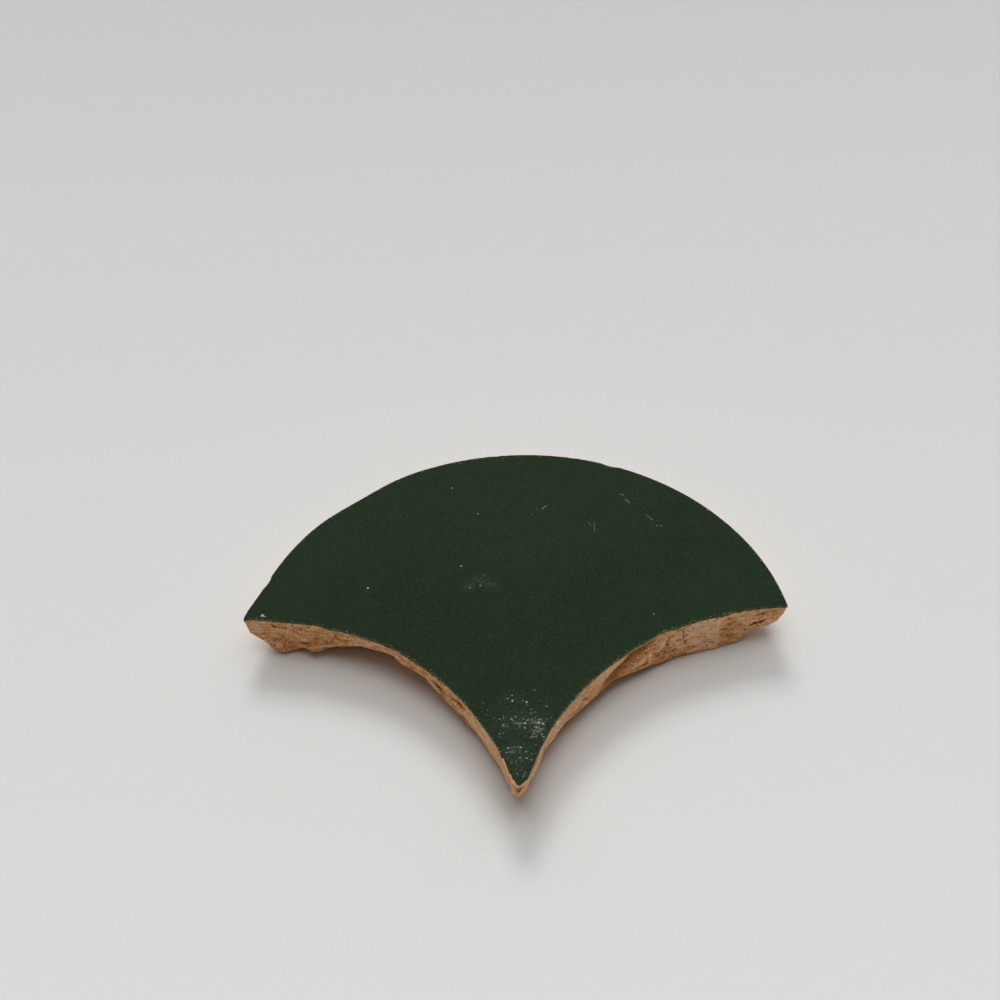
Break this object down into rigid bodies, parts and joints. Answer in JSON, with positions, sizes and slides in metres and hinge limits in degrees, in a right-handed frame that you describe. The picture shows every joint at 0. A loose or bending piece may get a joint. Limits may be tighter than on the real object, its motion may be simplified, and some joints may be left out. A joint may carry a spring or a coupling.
{
  "type": "fish scale tile",
  "caption": "Fish scale wall tile with a round head, concave flanks and a pointed tip, dark green glaze on a hand-cut terracotta body with undercut edges.",
  "frame": {"origin": "on the back face, midway between the two side corners", "axes": "+X from the left corner to the right corner, +Y towards the round head, +Z out of the glazed face"},
  "size_m": [0.12, 0.0994, 0.012],
  "materials": {
    "glazed_terracotta": "satin"
  },
  "bodies": {
    "root": {"fish_scale_tile": "glazed_terracotta"}
  },
  "joints": []
}
